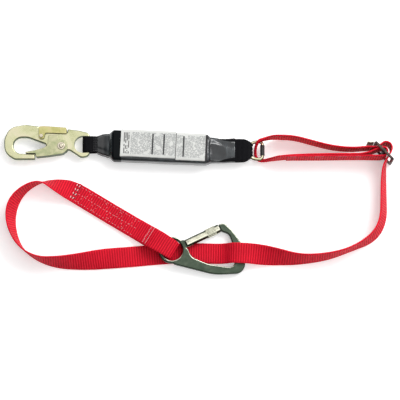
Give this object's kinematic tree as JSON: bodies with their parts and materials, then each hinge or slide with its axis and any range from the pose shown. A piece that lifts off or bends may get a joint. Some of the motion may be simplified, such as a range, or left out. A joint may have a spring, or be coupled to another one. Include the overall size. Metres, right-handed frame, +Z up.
{
  "type": "shock absorbing lanyard",
  "caption": "Fall-arrest lanyard of ribbed webbing with a snap hook, a sleeved tear-away shock pack, an adjuster slider and a twist-lock carabiner captive on its sewn leg.",
  "frame": {"origin": "middle of the laid-out hardware, on the surface it lies on", "axes": "+X from the snap hook towards the slider, +Y from the carabiner's side towards the shock pack's, +Z up from the surface"},
  "size_m": [0.6667, 0.2594, 0.0468],
  "materials": {
    "hook_steel": "yellow-passivated zinc plate, satin",
    "lever_gold": "golden passivated sheet steel",
    "spring_steel": "drawn spring wire",
    "black_webbing": "woven nylon, black",
    "black_thread": "bonded thread",
    "red_webbing": "ribbed woven nylon, red",
    "pale_thread": "bonded thread, pale",
    "shrink_film": "glossy dark translucent shrink film",
    "label_white": "printed vinyl",
    "label_black": "printed vinyl, black",
    "ring_steel": "yellow-passivated zinc plate",
    "ring_sleeve": "rubbery tube",
    "slider_black": "black oxide with wear",
    "slider_zinc": "bright zinc",
    "carabiner_steel": "dark olive passivated forging",
    "gate_zinc": "bright zinc plate"
  },
  "bodies": {
    "lanyard": {"left_loop": "black_webbing", "left_loop_stitching": "black_thread", "shrink_sleeve": "shrink_film", "tear_webbing": "black_webbing", "backup_strap": "black_webbing", "label_main": "label_white", "label_side": "label_white", "label_edge_strip": "label_black", "right_loop": "black_webbing", "right_loop_stitching": "black_thread", "d_ring": "ring_steel", "ring_wear_sleeve": "ring_sleeve", "slider_frame": "slider_black", "slider_bar": "slider_black", "slider_lip": "slider_zinc", "adjuster_upper_strand": "red_webbing", "adjuster_slider_wrap": "red_webbing", "adjuster_sewn_strand": "red_webbing", "adjuster_ring_turn": "red_webbing", "adjuster_stitching": "pale_thread", "leg_webbing": "red_webbing", "leg_sewn_tail": "red_webbing", "leg_end_bar_tack": "pale_thread", "leg_eye_bar_tack": "pale_thread", "carabiner_body": "carabiner_steel", "carabiner_hinge_pin": "gate_zinc"},
    "snap_hook": {"hook_body": "hook_steel", "hook_gate_rivet": "hook_steel", "hook_gate_spring": "spring_steel", "hook_lever_rivet": "hook_steel", "hook_lever_spring": "spring_steel"},
    "hook_gate": {"hook_gate": "hook_steel"},
    "hook_lever": {"hook_lock_lever": "lever_gold"},
    "carabiner_gate": {"carabiner_gate_barrel": "gate_zinc", "carabiner_gate_spring": "spring_steel", "carabiner_plunger": "gate_zinc", "carabiner_nose_pin": "gate_zinc", "carabiner_collar_spring": "spring_steel"},
    "lock_collar": {"carabiner_lock_collar": "gate_zinc"}
  },
  "joints": [
    {"name": "hook_swing", "type": "hinge", "parent": "lanyard", "child": "snap_hook", "pos_m": [-0.1916, 0.0952, 0.0105], "axis": [0, 1, 0], "range_deg": [-80, 80]},
    {"name": "hook_gate_pivot", "type": "hinge", "parent": "snap_hook", "child": "hook_gate", "pos_m": [-0.236, 0.092, 0.0105], "axis": [0, 0, -1], "range_deg": [0, 18], "stiffness_Nm_per_rad": 0.6, "springref_deg": -17.19},
    {"name": "hook_lever_pivot", "type": "hinge", "parent": "snap_hook", "child": "hook_lever", "pos_m": [-0.2706, 0.1094, 0.0105], "axis": [0, 0, -1], "range_deg": [0, 6], "stiffness_Nm_per_rad": 1, "springref_deg": -11.46},
    {"name": "carabiner_gate_pivot", "type": "hinge", "parent": "lanyard", "child": "carabiner_gate", "pos_m": [-0.01823, -0.0757, 0.0102], "axis": [-0.0445, 0, -0.999], "range_deg": [0, 15], "stiffness_Nm_per_rad": 0.5, "springref_deg": -22.92},
    {"name": "lock_collar_twist", "type": "hinge", "parent": "carabiner_gate", "child": "lock_collar", "pos_m": [-0.01823, -0.0757, 0.0102], "axis": [0.9009, 0.4321, -0.0401], "range_deg": [0, 80], "stiffness_Nm_per_rad": 0.02, "springref_deg": -17.19}
  ],
  "couplings": [
    {"joint": "hook_lever_pivot", "follows": "hook_gate_pivot", "ratio": 0.3333}
  ]
}
